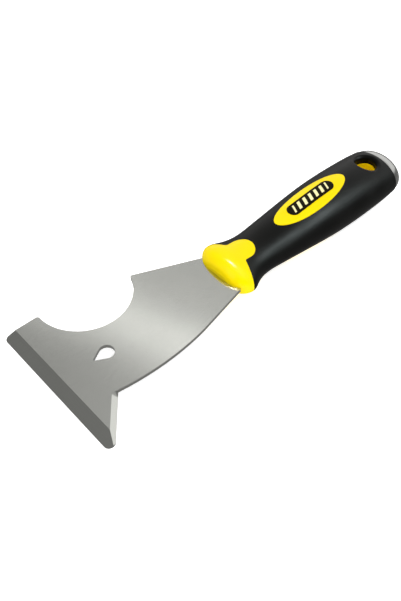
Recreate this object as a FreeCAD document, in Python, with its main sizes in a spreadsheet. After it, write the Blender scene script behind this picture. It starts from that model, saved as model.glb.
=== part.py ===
import FreeCAD, Part
import math
import os
import Sketcher
from FreeCAD import Placement, Rotation, Vector

# Painter's multi tool: a steel scraper blade with a full tang, a two-part
# moulded core, a soft grip moulded over it, an oval badge on each face
# and a steel strike cap.
# Millimetres. Everything is drawn with x = 0 on the cutting edge, +X along
# the handle, +Y on the side of the half-round cut-out and z = 0 in the
# middle of the blade. Each piece is then moved so that the hang hole's
# axis is the origin.

doc = FreeCAD.newDocument("painters_multi_tool")
sheet = doc.addObject("Spreadsheet::Sheet", "Sizes")

SIZES = [
    # blade
    ("blade_thick", 2.0),
    ("left_y", 35.4),
    ("roll_x", 40.95),
    ("roll_y", 34.1),
    ("roll_rad", 23.4),
    ("roll_end_x", 63.4),
    ("shoulder_x", 100.0),
    ("shoulder_left", 11.8),
    ("shoulder_right", -12.6),
    ("waist_x", 67.4),
    ("waist_y", -19.6),
    ("belly_rad", 140.0),
    ("notch_x", 19.6),
    ("notch_y", -19.6),
    ("point_y", -42.8),
    ("corner_rad", 2.0),
    ("cut_tip_rad", 1.2),
    ("roll_tip_rad", 0.8),
    ("point_rad", 2.6),
    ("notch_rad", 0.4),
    ("bevel_len", 5.8),
    ("bevel_depth", 1.6),
    ("point_bevel_len", 2.4),
    ("point_bevel_depth", 1.2),
    ("puller_x", 28.1),
    ("puller_y", -0.8),
    ("puller_rad", 3.6),
    ("puller_tip_x", 20.7),
    ("puller_tip_rad", 0.5),
    # tang
    ("tang_x", 104.0),
    ("tang_half", 7.5),
    ("tang_wide_x", 186.0),
    ("tang_wide_end", 191.0),
    ("tang_wide_half", 10.5),
    ("tang_end_x", 213.0),
    ("rivet_first_x", 123.0),
    ("rivet_step", 33.0),
    ("rivet_rad", 2.0),
    ("rivet_head_rad", 3.4),
    ("rivet_head_z", 4.8),
    # hang hole
    ("hole_x", 201.4),
    ("hole_rad", 5.6),
    ("hole_rim_rad", 1.8),
    ("tang_hole_rad", 6.8),
    # bolster and thumb tongue, in plan
    ("bolster_front_x", 90.0),
    ("bolster_side_x", 100.8),
    ("bolster_side_y", 19.0),
    ("tongue_root_x", 105.6),
    ("tongue_root_rad", 1.3),
    ("tongue_x", 109.5),
    ("tongue_rad", 6.4),
    # badge and label
    ("badge_x", 157.3),
    ("badge_half_len", 24.8),
    ("badge_half_wide", 7.8),
    ("badge_rise", 0.4),
    ("badge_edge_rad", 0.3),
    ("label_half_len", 15.6),
    ("label_half_wide", 3.5),
    ("label_rise", 0.7),
    # strike cap
    ("cap_seat_x", 210.4),
    ("cap_lip_x", 211.6),
    ("cap_half_wide", 15.1),
    ("cap_half_thick", 10.4),
    ("cap_dome", 9.6),
]

# Names the stations of the two tables below.
LETTERS = "abcdefghijklmnopqrstuvwxyz"

# The handle's stations, front to butt: distance from the cutting edge, half
# width and half thickness of the oval there.
HANDLE = [
    (93.9, 7.5, 3.0),
    (94.3, 9.9, 4.6),
    (95.3, 11.9, 6.3),
    (97.0, 14.0, 7.9),
    (98.8, 15.7, 8.8),
    (100.8, 16.7, 9.2),
    (103.0, 16.8, 9.3),
    (105.5, 15.8, 9.1),
    (108.5, 14.4, 8.9),
    (112.0, 13.3, 8.8),
    (118.0, 12.7, 8.8),
    (127.0, 13.3, 9.4),
    (138.0, 14.3, 10.4),
    (152.0, 15.5, 11.9),
    (166.0, 16.4, 13.0),
    (180.0, 16.7, 13.2),
    (192.0, 16.6, 12.8),
    (202.0, 16.3, 12.1),
    (210.4, 15.7, 11.0),
]

# The core under the grip, in the same way.
CORE = [
    (99.0, 11.2, 5.9),
    (108.0, 10.8, 6.3),
    (118.0, 10.2, 6.4),
    (132.0, 11.3, 7.5),
    (152.0, 13.0, 9.3),
    (172.0, 14.0, 10.2),
    (190.0, 13.9, 9.4),
    (210.4, 12.9, 7.3),
]

row = 0
for name, value in SIZES:
    row += 1
    sheet.set("A%d" % row, name)
    sheet.set("B%d" % row, str(value))
    sheet.setAlias("B%d" % row, name)
for prefix, table in (("form", HANDLE), ("core", CORE)):
    for number, station in enumerate(table):
        for suffix, value in zip(("at", "wide", "thick"), station):
            row += 1
            name = "%s_%s_%s" % (prefix, LETTERS[number], suffix)
            sheet.set("A%d" % row, name)
            sheet.set("B%d" % row, str(value))
            sheet.setAlias("B%d" % row, name)
doc.recompute()


def size(name):
    return float(sheet.get(name))


def bind(obj, prop, expression):
    obj.setExpression(prop, expression)


def cell(name):
    return "Sizes." + name


def new_body(name):
    return doc.addObject("PartDesign::Body", name)


def plane_of(body, role):
    for feature in body.Origin.OriginFeatures:
        if feature.Role == role:
            return feature
    raise RuntimeError("no plane " + role)


def new_sketch(body, name, role):
    sketch = body.newObject("Sketcher::SketchObject", name)
    sketch.AttachmentSupport = [(plane_of(body, role), "")]
    sketch.MapMode = "FlatFace"
    return sketch


def at_point(sketch, geo, pos, x_cell, y_cell, x_sign=1.0, y_sign=1.0):
    """Hold a point of the sketch at the sheet's x and y."""
    for kind, name, sign in (("DistanceX", x_cell, x_sign), ("DistanceY", y_cell, y_sign)):
        if name is None:
            continue
        if name == 0:
            axis = -2 if kind == "DistanceX" else -1
            sketch.addConstraint(Sketcher.Constraint("PointOnObject", geo, pos, axis))
            continue
        value = sign * size(name)
        number = sketch.addConstraint(Sketcher.Constraint(kind, -1, 1, geo, pos, value))
        text = cell(name) if sign > 0 else "-" + cell(name)
        bind(sketch, "Constraints[%d]" % number, text)


def line(sketch, start, end):
    return sketch.addGeometry(Part.LineSegment(Vector(*start, 0), Vector(*end, 0)), False)


def arc(sketch, start, middle, end):
    """An arc through three points; says whether its start is its point 1."""
    circle = Part.Circle(Vector(*start, 0), Vector(*middle, 0), Vector(*end, 0))
    centre = circle.Center
    turn = (middle[0] - start[0]) * (end[1] - start[1]) - (middle[1] - start[1]) * (end[0] - start[0])
    straight = turn > 0
    first, last = (start, end) if straight else (end, start)
    angle_a = math.atan2(first[1] - centre.y, first[0] - centre.x)
    angle_b = math.atan2(last[1] - centre.y, last[0] - centre.x)
    if angle_b < angle_a:
        angle_b += 2 * math.pi
    round_line = Part.Circle(centre, Vector(0, 0, 1), circle.Radius)
    number = sketch.addGeometry(Part.ArcOfCircle(round_line, angle_a, angle_b), False)
    return number, straight


def join(sketch, geo_a, pos_a, geo_b, pos_b):
    sketch.addConstraint(Sketcher.Constraint("Coincident", geo_a, pos_a, geo_b, pos_b))


def radius(sketch, geo, name):
    number = sketch.addConstraint(Sketcher.Constraint("Radius", geo, size(name)))
    bind(sketch, "Constraints[%d]" % number, cell(name))


def pocket(body, sketch, name):
    before = body.Shape.Volume
    feature = body.newObject("PartDesign::Pocket", name)
    feature.Profile = sketch
    feature.Type = 1
    feature.SideType = "Symmetric"
    doc.recompute()
    if body.Shape.Volume > before - 0.5:
        raise RuntimeError(name + " cut nothing")
    return feature


def upright_edge(shape, x, y):
    """The name of the edge along Z that stands at x, y."""
    best = None
    for number, edge in enumerate(shape.Edges):
        if len(edge.Vertexes) < 2:
            continue
        ends = [vertex.Point for vertex in edge.Vertexes]
        if abs(ends[0].z - ends[-1].z) < 0.5:
            continue
        gap = max(abs(point.x - x) + abs(point.y - y) for point in ends)
        if best is None or gap < best[0]:
            best = (gap, "Edge%d" % (number + 1))
    if best[0] > 0.2:
        raise RuntimeError("no edge at %.2f, %.2f" % (x, y))
    return best[1]


def round_edge(body, name, x, y, radius_cell):
    doc.recompute()
    tip = body.Tip
    fillet = body.newObject("PartDesign::Fillet", name)
    fillet.Base = (tip, [upright_edge(tip.Shape, x, y)])
    bind(fillet, "Radius", cell(radius_cell))
    doc.recompute()
    return fillet


# ---------------------------------------------------------------- blade

blade_body = new_body("blade_plate")
outline = new_sketch(blade_body, "blade_outline", "XY_Plane")

roll_rad = size("roll_rad")
roll_drop = (roll_rad ** 2 - (size("roll_end_x") - size("roll_x")) ** 2) ** 0.5
roll_end = (size("roll_end_x"), size("roll_y") - roll_drop)
roll_side = (roll_rad ** 2 - (size("left_y") - size("roll_y")) ** 2) ** 0.5
roll_start = (size("roll_x") - roll_side, size("left_y"))
belly_half = 0.5 * (size("waist_x") - size("notch_x"))
belly_drop = size("belly_rad") - (size("belly_rad") ** 2 - belly_half ** 2) ** 0.5
belly_mid = (size("notch_x") + belly_half, 0.5 * (size("waist_y") + size("notch_y")) - belly_drop)

front_left = (0, size("left_y"))
corner_points = [
    ("roll_end", roll_end),
    ("shoulder_left", (size("shoulder_x"), size("shoulder_left"))),
    ("tang_left", (size("tang_x"), size("tang_half"))),
    ("tang_wide_left", (size("tang_wide_x"), size("tang_half"))),
    ("tang_out_left", (size("tang_wide_end"), size("tang_wide_half"))),
    ("tang_end_left", (size("tang_end_x"), size("tang_wide_half"))),
    ("tang_end_right", (size("tang_end_x"), -size("tang_wide_half"))),
    ("tang_out_right", (size("tang_wide_end"), -size("tang_wide_half"))),
    ("tang_wide_right", (size("tang_wide_x"), -size("tang_half"))),
    ("tang_right", (size("tang_x"), -size("tang_half"))),
    ("shoulder_right", (size("shoulder_x"), size("shoulder_right"))),
    ("waist", (size("waist_x"), size("waist_y"))),
]
left_side = line(outline, front_left, roll_start)
roll_low = (size("roll_x"), size("roll_y") - roll_rad)
roll_arc, roll_straight = arc(outline, roll_start, roll_low, roll_end)
chain = []
for first, second in zip(corner_points[:-1], corner_points[1:]):
    chain.append(line(outline, first[1], second[1]))
notch = (size("notch_x"), size("notch_y"))
point = (0, size("point_y"))
belly_arc, belly_straight = arc(outline, corner_points[-1][1], belly_mid, notch)
point_edge = line(outline, notch, point)
front_edge = line(outline, point, front_left)

roll_a, roll_b = (1, 2) if roll_straight else (2, 1)
belly_a, belly_b = (1, 2) if belly_straight else (2, 1)
join(outline, left_side, 2, roll_arc, roll_a)
join(outline, roll_arc, roll_b, chain[0], 1)
for first, second in zip(chain[:-1], chain[1:]):
    join(outline, first, 2, second, 1)
join(outline, chain[-1], 2, belly_arc, belly_a)
join(outline, belly_arc, belly_b, point_edge, 1)
join(outline, point_edge, 2, front_edge, 1)
join(outline, front_edge, 2, left_side, 1)

at_point(outline, left_side, 1, 0, "left_y")
outline.addConstraint(Sketcher.Constraint("Horizontal", left_side))
at_point(outline, roll_arc, 3, "roll_x", "roll_y")
radius(outline, roll_arc, "roll_rad")
at_point(outline, chain[0], 1, "roll_end_x", None)
at_point(outline, chain[0], 2, "shoulder_x", "shoulder_left")
at_point(outline, chain[1], 2, "tang_x", "tang_half")
at_point(outline, chain[2], 2, "tang_wide_x", "tang_half")
at_point(outline, chain[3], 2, "tang_wide_end", "tang_wide_half")
at_point(outline, chain[4], 2, "tang_end_x", "tang_wide_half")
at_point(outline, chain[5], 2, "tang_end_x", "tang_wide_half", 1, -1)
at_point(outline, chain[6], 2, "tang_wide_end", "tang_wide_half", 1, -1)
at_point(outline, chain[7], 2, "tang_wide_x", "tang_half", 1, -1)
at_point(outline, chain[8], 2, "tang_x", "tang_half", 1, -1)
at_point(outline, chain[9], 2, "shoulder_x", "shoulder_right")
at_point(outline, chain[10], 2, "waist_x", "waist_y")
radius(outline, belly_arc, "belly_rad")
at_point(outline, point_edge, 1, "notch_x", "notch_y")
at_point(outline, point_edge, 2, 0, "point_y")

plate = blade_body.newObject("PartDesign::Pad", "blade_pad")
plate.Profile = outline
plate.SideType = "Symmetric"
bind(plate, "Length", cell("blade_thick"))
doc.recompute()

round_edge(blade_body, "front_corner", 0, size("left_y"), "corner_rad")
round_edge(blade_body, "cut_out_tip", roll_start[0], roll_start[1], "cut_tip_rad")
round_edge(blade_body, "cut_out_heel", roll_end[0], roll_end[1], "roll_tip_rad")
round_edge(blade_body, "point_tip", 0, size("point_y"), "point_rad")
round_edge(blade_body, "notch_round", size("notch_x"), size("notch_y"), "notch_rad")

# Teardrop nail puller, its sharp end towards the cutting edge.
puller = new_sketch(blade_body, "puller_outline", "XY_Plane")
px = size("puller_x")
py = size("puller_y")
pr = size("puller_rad")
reach = px - size("puller_tip_x")
lean = (reach ** 2 - pr ** 2) ** 0.5
touch_x = px - pr * pr / reach
touch_y = pr * lean / reach
upper = (touch_x, py + touch_y)
lower = (touch_x, py - touch_y)
tip = (size("puller_tip_x"), py)
round_end, round_straight = arc(puller, upper, (px + pr, py), lower)
upper_side = line(puller, tip, upper)
lower_side = line(puller, lower, tip)
end_a, end_b = (1, 2) if round_straight else (2, 1)
join(puller, upper_side, 2, round_end, end_a)
join(puller, round_end, end_b, lower_side, 1)
join(puller, lower_side, 2, upper_side, 1)
at_point(puller, round_end, 3, "puller_x", "puller_y")
radius(puller, round_end, "puller_rad")
at_point(puller, upper_side, 1, "puller_tip_x", "puller_y")
touch = "Sizes.puller_x - Sizes.puller_rad ^ 2 / (Sizes.puller_x - Sizes.puller_tip_x)"
for side, end in ((upper_side, 2), (lower_side, 1)):
    item = Sketcher.Constraint("DistanceX", -1, 1, side, end, touch_x)
    bind(puller, "Constraints[%d]" % puller.addConstraint(item), touch)
pocket(blade_body, puller, "nail_puller")
round_edge(blade_body, "puller_tip", tip[0], tip[1], "puller_tip_rad")

# Rivet holes and the hang hole's clearance in the tang.
drill = new_sketch(blade_body, "tang_holes", "XY_Plane")
for number in range(3):
    x = size("rivet_first_x") + number * size("rivet_step")
    circle = drill.addGeometry(Part.Circle(Vector(x, 0, 0), Vector(0, 0, 1), size("rivet_rad")))
    index = drill.addConstraint(Sketcher.Constraint("DistanceX", -1, 1, circle, 3, x))
    bind(drill, "Constraints[%d]" % index, "Sizes.rivet_first_x + %d * Sizes.rivet_step" % number)
    drill.addConstraint(Sketcher.Constraint("PointOnObject", circle, 3, -1))
    radius(drill, circle, "rivet_rad")
circle = drill.addGeometry(
    Part.Circle(Vector(size("hole_x"), 0, 0), Vector(0, 0, 1), size("tang_hole_rad"))
)
at_point(drill, circle, 3, "hole_x", 0)
radius(drill, circle, "tang_hole_rad")
pocket(blade_body, drill, "tang_drilling")

# Front bevel, ground on the upper face.
bevel = new_sketch(blade_body, "front_bevel_profile", "XZ_Plane")
half = 0.5 * size("blade_thick")
run = size("bevel_len")
drop = size("bevel_depth")
# The cutter reaches 1.5 past the front edge and 1 above the plate.
bevel_points = [
    (run, half),
    (0, half - drop),
    (-1.5, half - drop),
    (-1.5, half + 1),
    (run, half + 1),
]
sides = []
for first, second in zip(bevel_points, bevel_points[1:] + bevel_points[:1]):
    sides.append(line(bevel, first, second))
for first, second in zip(sides, sides[1:] + sides[:1]):
    join(bevel, first, 2, second, 1)
for number, along, height in (
    (0, "Sizes.bevel_len", "0.5 * Sizes.blade_thick"),
    (1, None, "0.5 * Sizes.blade_thick - Sizes.bevel_depth"),
    (2, "-1.5", "0.5 * Sizes.blade_thick - Sizes.bevel_depth"),
    (3, "-1.5", "0.5 * Sizes.blade_thick + 1"),
    (4, "Sizes.bevel_len", "0.5 * Sizes.blade_thick + 1"),
):
    where = bevel_points[number]
    if along is None:
        bevel.addConstraint(Sketcher.Constraint("PointOnObject", sides[number], 1, -2))
    else:
        item = Sketcher.Constraint("DistanceX", -1, 1, sides[number], 1, where[0])
        bind(bevel, "Constraints[%d]" % bevel.addConstraint(item), along)
    item = Sketcher.Constraint("DistanceY", -1, 1, sides[number], 1, where[1])
    bind(bevel, "Constraints[%d]" % bevel.addConstraint(item), height)
pocket(blade_body, bevel, "front_bevel")

# Bevel on the crack-opening point: a straight grind with a round run-out.
grind = new_body("point_grind")
grind_shape = new_sketch(grind, "point_grind_profile", "XZ_Plane")
wide = size("point_bevel_len")
deep = size("point_bevel_depth")
grind_points = [(wide, 0), (0, -deep), (-2, -2 * deep), (-2, 1), (wide, 1)]
sides = []
for first, second in zip(grind_points, grind_points[1:] + grind_points[:1]):
    sides.append(line(grind_shape, first, second))
for first, second in zip(sides, sides[1:] + sides[:1]):
    join(grind_shape, first, 2, second, 1)
for number, along, height in (
    (0, "Sizes.point_bevel_len", None),
    (1, None, "-Sizes.point_bevel_depth"),
    (2, "-2", "-2 * Sizes.point_bevel_depth"),
    (3, "-2", "1"),
    (4, "Sizes.point_bevel_len", "1"),
):
    where = grind_points[number]
    if along is None:
        grind_shape.addConstraint(Sketcher.Constraint("PointOnObject", sides[number], 1, -2))
    else:
        item = Sketcher.Constraint("DistanceX", -1, 1, sides[number], 1, where[0])
        bind(grind_shape, "Constraints[%d]" % grind_shape.addConstraint(item), along)
    if height is None:
        grind_shape.addConstraint(Sketcher.Constraint("PointOnObject", sides[number], 1, -1))
    else:
        item = Sketcher.Constraint("DistanceY", -1, 1, sides[number], 1, where[1])
        bind(grind_shape, "Constraints[%d]" % grind_shape.addConstraint(item), height)
grind_pad = grind.newObject("PartDesign::Pad", "point_grind_run")
grind_pad.Profile = grind_shape
# Longer than the point's edge, so that it runs out past the tip.
grind_pad.Length = 32
grind_pad.Reversed = True
doc.recompute()
run_out = new_sketch(grind, "point_grind_end", "XZ_Plane")
cone_points = [(0, -deep), (wide, 0), (wide, 1), (0, 1)]
sides = []
for first, second in zip(cone_points, cone_points[1:] + cone_points[:1]):
    sides.append(line(run_out, first, second))
for first, second in zip(sides, sides[1:] + sides[:1]):
    join(run_out, first, 2, second, 1)
run_out.addConstraint(Sketcher.Constraint("PointOnObject", sides[0], 1, -2))
item = Sketcher.Constraint("DistanceY", -1, 1, sides[0], 1, -deep)
bind(run_out, "Constraints[%d]" % run_out.addConstraint(item), "-Sizes.point_bevel_depth")
item = Sketcher.Constraint("DistanceX", -1, 1, sides[1], 1, wide)
bind(run_out, "Constraints[%d]" % run_out.addConstraint(item), "Sizes.point_bevel_len")
run_out.addConstraint(Sketcher.Constraint("PointOnObject", sides[1], 1, -1))
run_out.addConstraint(Sketcher.Constraint("Vertical", sides[1]))
run_out.addConstraint(Sketcher.Constraint("Horizontal", sides[2]))
run_out.addConstraint(Sketcher.Constraint("PointOnObject", sides[3], 1, -2))
item = Sketcher.Constraint("DistanceY", -1, 1, sides[2], 1, 1.0)
run_out.addConstraint(item)
grind_end = grind.newObject("PartDesign::Revolution", "point_grind_run_out")
grind_end.Profile = run_out
grind_end.ReferenceAxis = (run_out, ["V_Axis"])
grind_end.Angle = 360
doc.recompute()
edge_way = Vector(-size("notch_x"), size("point_y") - size("notch_y"), 0)
edge_way.normalize()
inward = Vector(edge_way.y, -edge_way.x, 0)
start = Vector(size("notch_x"), size("notch_y"), half) + edge_way * (1.1 * wide)
grind.Placement = Placement(start, Rotation(inward, edge_way, Vector(0, 0, 1), "ZXY"))

blade = doc.addObject("Part::Cut", "blade")
blade.Base = blade_body
blade.Tool = grind
doc.recompute()

# ---------------------------------------------------------------- handle forms

# Turns a flat XY ellipse so that it stands across the handle.
ACROSS = Rotation(Vector(1, 1, 1), 120)


def loft(name, prefix, count):
    sections = []
    for number in range(count):
        key = "%s_%s" % (prefix, LETTERS[number])
        oval = doc.addObject("Part::Ellipse", "%s_section_%s" % (name, key[-1]))
        oval.Placement = Placement(Vector(size(key + "_at"), 0, 0), ACROSS)
        bind(oval, "MajorRadius", cell(key + "_wide"))
        bind(oval, "MinorRadius", cell(key + "_thick"))
        bind(oval, "Placement.Base.x", cell(key + "_at"))
        sections.append(oval)
    form = doc.addObject("Part::Loft", name)
    form.Sections = sections
    form.Solid = True
    form.Ruled = False
    form.MaxDegree = 5
    return form


outer_form = loft("outer_form", "form", len(HANDLE))
core_form = loft("core_form", "core", len(CORE))
doc.recompute()


def raised(name, rise_cell):
    """The handle's outer form again, lifted towards the face."""
    form = doc.addObject("Part::Loft", name)
    form.Sections = outer_form.Sections
    form.Solid = True
    form.Ruled = False
    form.MaxDegree = 5
    bind(form, "Placement.Base.z", cell(rise_cell))
    return form


badge_form = raised("badge_form", "badge_rise")
label_form = raised("label_form", "label_rise")

# Plan of the bolster with its thumb tongue. It reaches past the handle in
# front and at the sides, so only its rear outline shows.
plan_body = new_body("bolster_plan")
plan = new_sketch(plan_body, "bolster_plan_outline", "XY_Plane")
front_x = size("bolster_front_x")
side_x = size("bolster_side_x")
side_y = size("bolster_side_y")
root_x = size("tongue_root_x")
tongue_x = size("tongue_x")
tongue_rad = size("tongue_rad")
nose = line(plan, (front_x, -side_y), (front_x, side_y))
side_up = line(plan, (front_x, side_y), (side_x, side_y))
back_up = line(plan, (side_x, side_y), (root_x, tongue_rad))
tongue_up = line(plan, (root_x, tongue_rad), (tongue_x, tongue_rad))
tongue_tip, tip_ok = arc(
    plan, (tongue_x, tongue_rad), (tongue_x + tongue_rad, 0), (tongue_x, -tongue_rad)
)
tongue_low = line(plan, (tongue_x, -tongue_rad), (root_x, -tongue_rad))
back_low = line(plan, (root_x, -tongue_rad), (side_x, -side_y))
side_low = line(plan, (side_x, -side_y), (front_x, -side_y))


def ends(straight):
    return (1, 2) if straight else (2, 1)


ring = [
    (nose, (1, 2)),
    (side_up, (1, 2)),
    (back_up, (1, 2)),
    (tongue_up, (1, 2)),
    (tongue_tip, ends(tip_ok)),
    (tongue_low, (1, 2)),
    (back_low, (1, 2)),
    (side_low, (1, 2)),
]
for first, second in zip(ring, ring[1:] + ring[:1]):
    join(plan, first[0], first[1][1], second[0], second[1][0])
for side, end, x_name, y_name, sign in (
    (side_up, 1, "bolster_front_x", "bolster_side_y", 1),
    (back_up, 1, "bolster_side_x", "bolster_side_y", 1),
    (tongue_up, 1, "tongue_root_x", "tongue_rad", 1),
    (tongue_up, 2, "tongue_x", None, 1),
    (tongue_low, 1, "tongue_x", None, 1),
    (back_low, 1, "tongue_root_x", "tongue_rad", -1),
    (side_low, 1, "bolster_side_x", "bolster_side_y", -1),
    (nose, 1, "bolster_front_x", "bolster_side_y", -1),
):
    at_point(plan, side, end, x_name, y_name, 1, sign)
at_point(plan, tongue_tip, 3, "tongue_x", 0)
radius(plan, tongue_tip, "tongue_rad")
plan_pad = plan_body.newObject("PartDesign::Pad", "bolster_plan_pad")
plan_pad.Profile = plan
plan_pad.SideType = "Symmetric"
plan_pad.Length = 40
round_edge(plan_body, "tongue_root_upper", root_x, tongue_rad, "tongue_root_rad")
round_edge(plan_body, "tongue_root_lower", root_x, -tongue_rad, "tongue_root_rad")


def boolean(kind, name, base, tool):
    result = doc.addObject("Part::" + kind, name)
    result.Base = base
    result.Tool = tool
    return result


bolster = boolean("Common", "bolster_form", outer_form, plan_body)
yellow = boolean("Fuse", "core_whole", bolster, core_form)
yellow.Refine = False

# ---------------------------------------------------------------- rivets

rivets = []
for number in range(3):
    letter = "abc"[number]
    along = "Sizes.rivet_first_x + %d * Sizes.rivet_step" % number
    shank = doc.addObject("Part::Cylinder", "rivet_shank_" + letter)
    bind(shank, "Radius", cell("rivet_rad"))
    bind(shank, "Height", "2 * Sizes.rivet_head_z")
    bind(shank, "Placement.Base.x", along)
    bind(shank, "Placement.Base.z", "-Sizes.rivet_head_z")
    heads = []
    for side in ("front", "rear"):
        head = doc.addObject("Part::Cylinder", "rivet_head_%s_%s" % (side, letter))
        bind(head, "Radius", cell("rivet_head_rad"))
        head.Height = 12
        bind(head, "Placement.Base.x", along)
        if side == "front":
            bind(head, "Placement.Base.z", cell("rivet_head_z"))
        else:
            bind(head, "Placement.Base.z", "-Sizes.rivet_head_z - 12")
        heads.append(head)
    whole = doc.addObject("Part::MultiFuse", "rivet_whole_" + letter)
    whole.Shapes = [shank] + heads
    rivets.append(boolean("Common", "rivet_" + letter, whole, core_form))
rivet_group = doc.addObject("Part::Compound", "tang_rivets")
rivet_group.Links = rivets
doc.recompute()

# ---------------------------------------------------------------- hang hole

hole = doc.addObject("Part::Cylinder", "hang_hole_tool")
hole.Height = 60
bind(hole, "Radius", cell("hole_rad"))
bind(hole, "Placement.Base.x", cell("hole_x"))
hole.Placement.Base.z = -30

# ---------------------------------------------------------------- strike cap

# A short oval skirt under the grip's rim and a domed end, slotted for the tang.

seat = doc.addObject("Part::Ellipse", "cap_seat_oval")
seat.Placement = Placement(Vector(size("cap_seat_x"), 0, 0), ACROSS)
bind(seat, "MajorRadius", cell("cap_half_wide"))
bind(seat, "MinorRadius", cell("cap_half_thick"))
bind(seat, "Placement.Base.x", cell("cap_seat_x"))
skirt = doc.addObject("Part::Extrusion", "cap_skirt")
skirt.Base = seat
skirt.DirMode = "Custom"
skirt.Dir = Vector(1, 0, 0)
skirt.Solid = True
bind(skirt, "LengthFwd", "Sizes.cap_lip_x - Sizes.cap_seat_x")
dome = doc.addObject("Part::Ellipsoid", "cap_dome_form")
dome.Angle1 = 0
dome.Angle2 = 90
dome.Placement = Placement(Vector(size("cap_lip_x"), 0, 0), ACROSS)
bind(dome, "Radius1", cell("cap_dome"))
bind(dome, "Radius2", cell("cap_half_wide"))
bind(dome, "Radius3", cell("cap_half_thick"))
bind(dome, "Placement.Base.x", cell("cap_lip_x"))
cap_whole = boolean("Fuse", "cap_whole", skirt, dome)
cap = boolean("Cut", "strike_cap", cap_whole, blade)
doc.recompute()

# ---------------------------------------------------------------- core shells

# The core is the bolster and the inner form together, parted at the middle of
# the blade and cut out for the tang, the rivets and the hang hole.
halves = {}
for side, low in (("front", 0), ("rear", -40)):
    block = doc.addObject("Part::Box", "block_" + side)
    block.Length = 260
    block.Width = 60
    block.Height = 40
    block.Placement = Placement(Vector(0, -30, low), Rotation())
    half_form = boolean("Common", "core_half_" + side, yellow, block)
    slotted = boolean("Cut", "core_slotted_" + side, half_form, blade)
    drilled = boolean("Cut", "core_drilled_" + side, slotted, rivet_group)
    halves[side] = boolean("Cut", "core_" + side, drilled, hole)
doc.recompute()

# ---------------------------------------------------------------- badge and label

badge_oval = doc.addObject("Part::Ellipse", "badge_oval")
bind(badge_oval, "MajorRadius", cell("badge_half_len"))
bind(badge_oval, "MinorRadius", cell("badge_half_wide"))
bind(badge_oval, "Placement.Base.x", cell("badge_x"))
badge_prism = doc.addObject("Part::Extrusion", "badge_prism")
badge_prism.Base = badge_oval
badge_prism.DirMode = "Custom"
badge_prism.Dir = Vector(0, 0, 1)
badge_prism.Solid = True
badge_prism.LengthFwd = 30
badge_top = boolean("Common", "badge_top", badge_form, badge_prism)
badge_block = boolean("Cut", "badge_block", badge_top, core_form)
doc.recompute()
badge_front = doc.addObject("Part::Fillet", "badge_front")
badge_front.Base = badge_block
# Its rim is rounded: the oval edges above this height, which lies between the
# core's surface and the badge's top.
BADGE_MIDDLE_Z = 9.8
oval_edges = []
for number, edge in enumerate(badge_block.Shape.Edges):
    middle = edge.valueAt(0.5 * (edge.FirstParameter + edge.LastParameter))
    reach_x = (middle.x - size("badge_x")) / size("badge_half_len")
    reach_y = middle.y / size("badge_half_wide")
    above = middle.z > BADGE_MIDDLE_Z
    if above and abs(reach_x ** 2 + reach_y ** 2 - 1) < 0.02 and edge.Length > 1:
        oval_edges.append((number + 1, size("badge_edge_rad"), size("badge_edge_rad")))
badge_front.Edges = oval_edges

label_body = new_body("label_plan")
label_plan = new_sketch(label_body, "label_plan_outline", "XY_Plane")
reach = size("label_half_len") - size("label_half_wide")
label_wide = size("label_half_wide")
mid = size("badge_x")
label_right, right_ok = arc(
    label_plan,
    (mid + reach, label_wide),
    (mid + reach + label_wide, 0),
    (mid + reach, -label_wide),
)
label_low = line(label_plan, (mid + reach, -label_wide), (mid - reach, -label_wide))
label_left, left_ok = arc(
    label_plan,
    (mid - reach, -label_wide),
    (mid - reach - label_wide, 0),
    (mid - reach, label_wide),
)
label_up = line(label_plan, (mid - reach, label_wide), (mid + reach, label_wide))
right_first, right_last = ends(right_ok)
left_first, left_last = ends(left_ok)
join(label_plan, label_right, right_last, label_low, 1)
join(label_plan, label_low, 2, label_left, left_first)
join(label_plan, label_left, left_last, label_up, 1)
join(label_plan, label_up, 2, label_right, right_first)
label_plan.addConstraint(Sketcher.Constraint("Vertical", label_right, 1, label_right, 3))
label_plan.addConstraint(Sketcher.Constraint("Vertical", label_right, 2, label_right, 3))
label_plan.addConstraint(Sketcher.Constraint("Vertical", label_left, 1, label_left, 3))
label_plan.addConstraint(Sketcher.Constraint("Vertical", label_left, 2, label_left, 3))
label_plan.addConstraint(Sketcher.Constraint("PointOnObject", label_right, 3, -1))
label_plan.addConstraint(Sketcher.Constraint("PointOnObject", label_left, 3, -1))
for centre, sign in ((label_right, "+"), (label_left, "-")):
    value = mid + reach if sign == "+" else mid - reach
    item = Sketcher.Constraint("DistanceX", -1, 1, centre, 3, value)
    text = "Sizes.badge_x %s (Sizes.label_half_len - Sizes.label_half_wide)" % sign
    bind(label_plan, "Constraints[%d]" % label_plan.addConstraint(item), text)
radius(label_plan, label_right, "label_half_wide")
radius(label_plan, label_left, "label_half_wide")
label_pad = label_body.newObject("PartDesign::Pad", "label_plan_pad")
label_pad.Profile = label_plan
label_pad.Length = 30
doc.recompute()
label_top = boolean("Common", "label_top", label_form, label_body)
label_front = boolean("Cut", "label_front", label_top, badge_form)
doc.recompute()

# ---------------------------------------------------------------- grip

# The grip is what is left of the outer form behind the bolster, outside the
# core, the two badge windows and the hang hole.
window = doc.addObject("Part::Extrusion", "badge_window")
window.Base = badge_oval
window.DirMode = "Custom"
window.Dir = Vector(0, 0, 1)
window.Solid = True
window.LengthFwd = 30
window.LengthRev = 30
grip_rear = boolean("Cut", "grip_behind_bolster", outer_form, plan_body)
grip_shell = boolean("Cut", "grip_shell", grip_rear, core_form)
grip_windowed = boolean("Cut", "grip_windowed", grip_shell, window)
grip_holed = boolean("Cut", "grip_holed", grip_windowed, hole)
doc.recompute()
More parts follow.
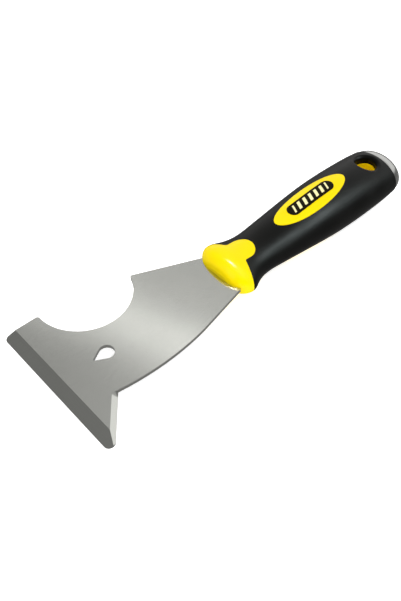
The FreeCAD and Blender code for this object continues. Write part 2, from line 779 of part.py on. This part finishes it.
# The hang hole's outer rims are rounded: the edges as wide as the hole that
# lie outside this height, well above the core's surface.
GRIP_MIDDLE_Z = 10.3
grip = doc.addObject("Part::Fillet", "grip")
grip.Base = grip_holed
rim_edges = []
for number, edge in enumerate(grip_holed.Shape.Edges):
    box = edge.BoundBox
    around = abs(box.XMin - (size("hole_x") - size("hole_rad"))) < 0.3
    across = abs(box.XMax - (size("hole_x") + size("hole_rad"))) < 0.3
    outside = max(abs(box.ZMin), abs(box.ZMax)) > GRIP_MIDDLE_Z
    if around and across and outside:
        rim_edges.append((number + 1, size("hole_rim_rad"), size("hole_rim_rad")))
grip.Edges = rim_edges
doc.recompute()

# ---------------------------------------------------------------- rear pair


def mirrored(name, source):
    copy = doc.addObject("Part::Mirroring", name)
    copy.Source = source
    copy.Base = Vector(0, 0, 0)
    copy.Normal = Vector(0, 0, 1)
    return copy


PIECES = {
    "blade": blade,
    "core_front": halves["front"],
    "core_rear": halves["rear"],
    "tang_rivets": rivet_group,
    "grip": grip,
    "badge_front": badge_front,
    "badge_rear": mirrored("badge_rear", badge_front),
    "label_front": label_front,
    "label_rear": mirrored("label_rear", label_front),
    "strike_cap": cap,
}
doc.recompute()

failed = []
for obj in doc.Objects:
    if "Invalid" in obj.State or "Error" in obj.State:
        failed.append(obj.Name)
if failed:
    raise RuntimeError("failed objects: " + ", ".join(failed))

os.makedirs("parts", exist_ok=True)
for name, obj in PIECES.items():
    obj.Label = name
    shape = obj.Shape.copy()
    shape.translate(Vector(-size("hole_x"), 0, 0))
    if shape.isNull() or not shape.isValid():
        raise RuntimeError(name + " has no valid shape")
    print(name, len(shape.Solids), round(shape.Volume, 1), shape.BoundBox)
    shape.exportStep("parts/%s.step" % name)
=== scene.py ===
import bpy
from mathutils import Matrix, Vector


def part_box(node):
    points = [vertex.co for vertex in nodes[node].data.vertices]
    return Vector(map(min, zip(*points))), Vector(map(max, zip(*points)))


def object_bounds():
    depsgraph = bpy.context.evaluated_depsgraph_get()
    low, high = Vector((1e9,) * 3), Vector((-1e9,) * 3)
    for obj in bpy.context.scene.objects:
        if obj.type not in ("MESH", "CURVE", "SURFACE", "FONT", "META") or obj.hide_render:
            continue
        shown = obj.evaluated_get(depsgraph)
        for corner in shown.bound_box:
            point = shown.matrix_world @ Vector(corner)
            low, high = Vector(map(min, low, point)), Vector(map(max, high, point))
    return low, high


# Dresses and lights the painter's multi tool. In metres: the hang hole's axis
# is the origin, +X runs to the butt, +Y is the side of the half-round cut-out
# and +Z is up, out of the face with the bevels.

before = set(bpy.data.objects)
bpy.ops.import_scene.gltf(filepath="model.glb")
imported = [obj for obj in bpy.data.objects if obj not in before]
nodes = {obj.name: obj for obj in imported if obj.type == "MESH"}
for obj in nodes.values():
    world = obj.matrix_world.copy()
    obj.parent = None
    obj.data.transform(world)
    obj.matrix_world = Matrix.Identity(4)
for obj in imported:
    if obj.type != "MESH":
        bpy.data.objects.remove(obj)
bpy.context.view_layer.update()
scene = bpy.context.scene


# ---------------------------------------------------------------- node helpers


class Net:
    """Adds and links the nodes of one material or world."""

    def __init__(self, owner, output, shader, where):
        self.owner = owner
        owner.use_nodes = True
        self.tree = owner.node_tree
        self.tree.nodes.clear()
        self.out = self.add(output)
        self.shader = self.add(shader)
        self.link(self.shader.outputs[0], self.out.inputs[0])
        self.where = self.add("ShaderNodeTexCoord").outputs[where]

    def add(self, kind, **values):
        node = self.tree.nodes.new(kind)
        for key, value in values.items():
            setattr(node, key, value)
        return node

    def link(self, source, target):
        self.tree.links.new(source, target)

    def put(self, socket, value):
        """Links a socket to a socket, or sets it to a plain value."""
        if isinstance(value, bpy.types.NodeSocket):
            self.link(value, socket)
        else:
            socket.default_value = value

    def math(self, operation, first, second=0.0, third=0.0):
        node = self.add("ShaderNodeMath", operation=operation)
        self.put(node.inputs[0], first)
        self.put(node.inputs[1], second)
        self.put(node.inputs[2], third)
        return node.outputs[0]

    def scaled(self, x, y, z):
        """The object's own coordinates in metres, scaled along each axis."""
        node = self.add("ShaderNodeMapping")
        self.link(self.where, node.inputs["Vector"])
        node.inputs["Scale"].default_value = (x, y, z)
        return node.outputs[0]

    def noise(self, vector, scale, detail, rough):
        node = self.add("ShaderNodeTexNoise")
        self.link(vector, node.inputs["Vector"])
        node.inputs["Scale"].default_value = scale
        node.inputs["Detail"].default_value = detail
        node.inputs["Roughness"].default_value = rough
        return node.outputs["Fac"]

    def span(self, value, low, high, to_low, to_high):
        """Runs smoothly from to_low at low to to_high at high."""
        node = self.add("ShaderNodeMapRange")
        node.interpolation_type = "SMOOTHSTEP"
        self.link(value, node.inputs["Value"])
        node.inputs["From Min"].default_value = low
        node.inputs["From Max"].default_value = high
        node.inputs["To Min"].default_value = to_low
        node.inputs["To Max"].default_value = to_high
        return node.outputs["Result"]

    def mix(self, factor, first, second):
        node = self.add("ShaderNodeMix", data_type="RGBA", blend_type="MIX")
        self.put(node.inputs["Factor"], factor)
        self.put(node.inputs["A"], first)
        self.put(node.inputs["B"], second)
        return node.outputs["Result"]

    def bump(self, height, distance, strength):
        node = self.add("ShaderNodeBump")
        self.link(height, node.inputs["Height"])
        node.inputs["Distance"].default_value = distance
        node.inputs["Strength"].default_value = strength
        return node.outputs["Normal"]

    def axes(self):
        """The x, y and z of the coordinates that this net works in."""
        node = self.add("ShaderNodeSeparateXYZ")
        self.link(self.where, node.inputs[0])
        return node.outputs

    def set(self, **values):
        """Sets shader sockets by name, with _ for each space."""
        for key, value in values.items():
            self.put(self.shader.inputs[key.replace("_", " ")], value)


def surface(name):
    """A new material, in the object's own coordinates."""
    material = bpy.data.materials.new(name)
    return Net(material, "ShaderNodeOutputMaterial", "ShaderNodeBsdfPrincipled", "Object")


def rgb(red, green, blue):
    return (red, green, blue, 1.0)


def dress(name, net):
    """Puts one material on a CAD node."""
    mesh = nodes[name].data
    mesh.materials.clear()
    mesh.materials.append(net.owner)


# ---------------------------------------------------------------- materials


def even_noise(net, scale, detail, rough):
    """Noise of the same grain in every direction."""
    return net.noise(net.scaled(1, 1, 1), scale, detail, rough)


def between(net, noise, first, second):
    """A value or colour that drifts from first to second with a noise."""
    if isinstance(first, tuple):
        return net.mix(net.span(noise, 0.3, 0.7, 0.0, 1.0), first, second)
    return net.span(noise, 0.3, 0.7, first, second)


def blade_steel():
    """Satin steel with a fine grain along the blade."""
    net = surface("satin_blade_steel")
    grain = net.noise(net.scaled(300, 5200, 300), 1.0, 3.0, 0.5)
    patch = even_noise(net, 30.0, 3.0, 0.5)
    speck = even_noise(net, 2400.0, 2.0, 0.5)
    tone = net.math("ADD", net.math("MULTIPLY", grain, 0.4), net.math("MULTIPLY", patch, 0.6))
    net.set(
        Base_Color=between(net, tone, rgb(0.60, 0.605, 0.575), rgb(0.645, 0.65, 0.615)),
        Metallic=1.0,
        Roughness=net.math("ADD", between(net, grain, 0.13, 0.16), between(net, speck, -0.01, 0.01)),
        Normal=net.bump(grain, 0.000004, 0.4),
    )
    return net


def cap_steel():
    """Polished steel, a little scuffed along the handle."""
    net = surface("polished_cap_steel")
    haze = even_noise(net, 180.0, 3.0, 0.5)
    scuff = net.noise(net.scaled(300, 900, 300), 1.0, 4.0, 0.6)
    net.set(
        Base_Color=between(net, haze, rgb(0.47, 0.47, 0.46), rgb(0.53, 0.53, 0.52)),
        Metallic=1.0,
        Roughness=net.span(scuff, 0.3, 0.8, 0.10, 0.20),
    )
    return net


def yellow_plastic(name):
    """Glossy moulded plastic with a faint orange peel."""
    net = surface(name)
    flow = even_noise(net, 35.0, 3.0, 0.5)
    peel = even_noise(net, 900.0, 2.0, 0.5)
    net.set(
        Base_Color=between(net, flow, rgb(1.0, 0.735, 0.0), rgb(1.0, 0.775, 0.0)),
        Roughness=between(net, flow, 0.17, 0.23),
        Normal=net.bump(peel, 0.00003, 0.2),
        IOR=1.5,
        Specular_IOR_Level=0.19,
        Subsurface_Weight=0.06,
        Subsurface_Scale=0.002,
        Subsurface_Radius=(1.0, 0.7, 0.1),
    )
    return net


def grip_rubber():
    """Soft black rubber with a fine grain, rubbed along the handle."""
    net = surface("black_soft_grip")
    grain = even_noise(net, 2600.0, 3.0, 0.6)
    cloud = even_noise(net, 60.0, 4.0, 0.55)
    rub = net.noise(net.scaled(40, 220, 220), 1.0, 4.0, 0.6)
    net.set(
        Base_Color=between(net, cloud, rgb(0.0020, 0.0020, 0.0017), rgb(0.0036, 0.0037, 0.0032)),
        Roughness=net.math("ADD", between(net, cloud, 0.36, 0.42), between(net, rub, -0.03, 0.03)),
        Normal=net.bump(grain, 0.00005, 0.3),
        IOR=1.5,
        Specular_IOR_Level=0.16,
    )
    return net


# The bars on the label, in metres.
BAR_PITCH = 0.0040
BAR_LEAN = -0.45
BAR_HALF_HEIGHT = 0.0022
BAR_END_MARGIN = 0.0035
# Puts the middle of a bar on the label's centre.
BAR_SHIFT = 20.5
# Half of a bar's width as a share of the pitch.
BAR_HALF_WIDTH = 0.23


def label_film():
    """Black film with a row of plain slanted bars."""
    net = surface("black_label_film")
    axes = net.axes()
    low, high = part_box("label_front")
    along = net.math("SUBTRACT", axes[0], 0.5 * (low.x + high.x))
    lean = net.math("MULTIPLY_ADD", axes[1], BAR_LEAN, along)
    cell = net.math("FRACT", net.math("MULTIPLY_ADD", lean, 1.0 / BAR_PITCH, BAR_SHIFT))
    off_bar = net.math("ABSOLUTE", net.math("SUBTRACT", cell, 0.5))
    bar = net.span(off_bar, BAR_HALF_WIDTH - 0.02, BAR_HALF_WIDTH + 0.02, 1.0, 0.0)
    off_row = net.math("ABSOLUTE", axes[1])
    tall = net.span(off_row, BAR_HALF_HEIGHT - 0.0001, BAR_HALF_HEIGHT + 0.0001, 1.0, 0.0)
    reach = 0.5 * (high.x - low.x) - BAR_END_MARGIN
    wide = net.span(net.math("ABSOLUTE", lean), reach, reach + 0.0002, 1.0, 0.0)
    mark = net.math("MULTIPLY", net.math("MULTIPLY", bar, tall), wide)
    ink = even_noise(net, 500.0, 3.0, 0.5)
    black = net.mix(ink, rgb(0.004, 0.003, 0.001), rgb(0.010, 0.008, 0.003))
    pale = net.mix(ink, rgb(0.90, 0.84, 0.42), rgb(0.95, 0.90, 0.50))
    net.set(
        Base_Color=net.mix(mark, black, pale),
        Roughness=between(net, ink, 0.30, 0.40),
        Specular_IOR_Level=0.06,
    )
    return net


def rivet_steel():
    """Plain dull steel."""
    net = surface("rivet_steel")
    haze = even_noise(net, 400.0, 3.0, 0.5)
    net.set(
        Base_Color=net.mix(haze, rgb(0.50, 0.50, 0.50), rgb(0.62, 0.62, 0.61)),
        Metallic=1.0,
        Roughness=between(net, haze, 0.3, 0.45),
    )
    return net


dress("blade", blade_steel())
dress("strike_cap", cap_steel())
core = yellow_plastic("yellow_core_plastic")
dress("core_front", core)
dress("core_rear", core)
badge = yellow_plastic("yellow_badge_plastic")
dress("badge_front", badge)
dress("badge_rear", badge)
dress("grip", grip_rubber())
label = label_film()
dress("label_front", label)
dress("label_rear", label)
dress("tang_rivets", rivet_steel())


# ---------------------------------------------------------------- stage

FLOOR_HALF = 6.0
FLOOR_GAP = 0.0004


def pale_paper():
    """Matt white paper with a little light of its own."""
    net = surface("pale_paper")
    fibre = even_noise(net, 3.0, 3.0, 0.5)
    net.set(
        Base_Color=net.mix(fibre, rgb(0.93, 0.93, 0.93), rgb(0.96, 0.96, 0.96)),
        Roughness=0.9,
        Specular_IOR_Level=0.1,
        Emission_Color=rgb(1, 1, 1),
        Emission_Strength=0.72,
    )
    return net


low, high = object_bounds()
floor_mesh = bpy.data.meshes.new("floor")
floor_mesh.from_pydata(
    [
        (-FLOOR_HALF, -FLOOR_HALF, 0),
        (FLOOR_HALF, -FLOOR_HALF, 0),
        (FLOOR_HALF, FLOOR_HALF, 0),
        (-FLOOR_HALF, FLOOR_HALF, 0),
    ],
    [],
    [(0, 1, 2, 3)],
)
floor = bpy.data.objects.new("floor", floor_mesh)
scene.collection.objects.link(floor)
floor.location = (0, 0, low.z - FLOOR_GAP)
# The steel mirrors the walls and not the floor.
floor.visible_glossy = False
floor.data.materials.append(pale_paper().owner)


# ---------------------------------------------------------------- light

# Brightness of the sky below the horizon.
FLOOR_SIDE = 0.26
# The lowest rise that a direction is divided by, so that the horizon stays finite.
LOWEST_RISE = 0.04
# The soft box's edge leans across the handle by this much, from this start.
BOX_LEAN = 0.34
BOX_START = -0.2346


def studio_sky(world):
    """Grey walls, dim low down on the near side, and one long soft box overhead.

    A direction is told by how far it runs along the handle and across it for
    each unit that it rises.
    """
    sky = Net(world, "ShaderNodeOutputWorld", "ShaderNodeBackground", "Generated")

    def product(first, *others):
        for other in others:
            first = sky.math("MULTIPLY", first, other)
        return first

    def total(first, *others):
        for other in others:
            first = sky.math("ADD", first, other)
        return first

    x, y, z = sky.axes()[0:3]
    rise = sky.math("MAXIMUM", z, LOWEST_RISE)
    along = sky.math("DIVIDE", x, rise)
    across = sky.math("DIVIDE", y, rise)
    swept = total(along, sky.math("MULTIPLY_ADD", across, BOX_LEAN, BOX_START))
    walls = total(
        sky.span(along, 0.0, 0.28, 0.22, 0.37),
        sky.span(swept, 0.50, 0.565, 0.0, 0.235),
        sky.span(along, 0.85, 1.3, 0.0, 0.46),
    )
    near_shade = sky.span(across, -1.8, -0.5, 0.2, 1.0)
    # A soft patch before the box, stronger towards the near side.
    patch = product(
        sky.span(across, 0.56, 0.74, 0.13, 0.0),
        sky.span(along, 0.0, 0.28, 0.1, 1.0),
        sky.span(swept, 0.49, 0.57, 1.0, 0.0),
    )
    # The box swells slowly, ends sharply and fades out at both ends.
    box = product(
        sky.span(swept, 0.363, 0.498, 0.0, 1.2),
        sky.span(swept, 0.501, 0.525, 1.0, 0.0),
        sky.span(across, 0.2, 0.45, 0.0, 1.0),
        sky.span(across, 1.1, 1.6, 1.0, 0.0),
    )
    above = total(product(walls, near_shade), patch, box)
    share = sky.span(z, -0.05, 0.12, 0.0, 1.0)
    level = sky.math("MULTIPLY_ADD", share, sky.math("SUBTRACT", above, FLOOR_SIDE), FLOOR_SIDE)
    sky.set(Color=rgb(1.0, 1.0, 0.985), Strength=level)


def area(name, place, aim, width, height, power, colour=(1, 1, 1)):
    """A rectangular lamp at a place, turned to a point, hidden from the camera."""
    data = bpy.data.lights.new(name, "AREA")
    data.shape = "RECTANGLE"
    data.size = width
    data.size_y = height
    data.energy = power
    data.color = colour
    lamp = bpy.data.objects.new(name, data)
    scene.collection.objects.link(lamp)
    lamp.location = place
    lamp.visible_camera = False
    away = Vector(place) - Vector(aim)
    lamp.rotation_euler = away.to_track_quat("Z", "Y").to_euler()
    return lamp


def accent(lamp, pieces):
    """Keeps a lamp to the highlights of a few pieces."""
    lamp.visible_diffuse = False
    lit = bpy.data.collections.new(lamp.name + "_pieces")
    for name in pieces:
        lit.objects.link(nodes[name])
    lamp.light_linking.receiver_collection = lit


world = bpy.data.worlds.new("studio")
scene.world = world
studio_sky(world)

MIDDLE = (-0.09, 0.0, 0.0)
BOLSTER = (-0.10, 0.0, 0.0)
BUTT = (0.06, 0.0, 0.0)

# Soft fills, which no piece mirrors.
for lamp in (
    area("top_soft", (-0.25, -0.35, 1.1), MIDDLE, 1.0, 1.0, 9.6),
    area("front_fill", (-0.9, 0.1, 0.5), BOLSTER, 0.6, 0.4, 3.2),
    area("side_fill", (-0.1, -0.9, 0.45), MIDDLE, 0.9, 0.4, 1.0, (0.92, 0.96, 1.0)),
):
    lamp.visible_glossy = False

accent(area("grip_sheen", (0.38, -0.50, 0.70), BUTT, 0.35, 0.35, 6.2, (0.88, 1.0, 1.0)), ["grip"])
accent(
    area("ridge", (-0.12, 0.24, 1.0), BOLSTER, 0.06, 0.30, 11.0),
    ["core_front", "core_rear"],
)


# ---------------------------------------------------------------- camera

camera_data = bpy.data.cameras.new("camera")
camera = bpy.data.objects.new("camera", camera_data)
scene.collection.objects.link(camera)
camera_data.sensor_width = 36.0
camera_data.sensor_fit = "AUTO"
camera_data.lens = 41.93
camera_data.clip_start = 0.01
camera_data.clip_end = 30.0
# Where the camera stands, and the directions behind it and to its right.
eye = Vector((-0.26720, -0.16084, 0.23924))
back = Vector((-0.45038, -0.48587, 0.74906)).normalized()
right = Vector((0.73764, -0.67517, 0.00557))
right = (right - back * right.dot(back)).normalized()
up = back.cross(right)
turn = Matrix((right, up, back)).transposed().to_4x4()
camera.matrix_world = Matrix.Translation(eye) @ turn
scene.camera = camera

scene.view_settings.view_transform = "Standard"
scene.view_settings.look = "None"
scene.view_settings.exposure = 0.0
scene.view_settings.gamma = 1.0
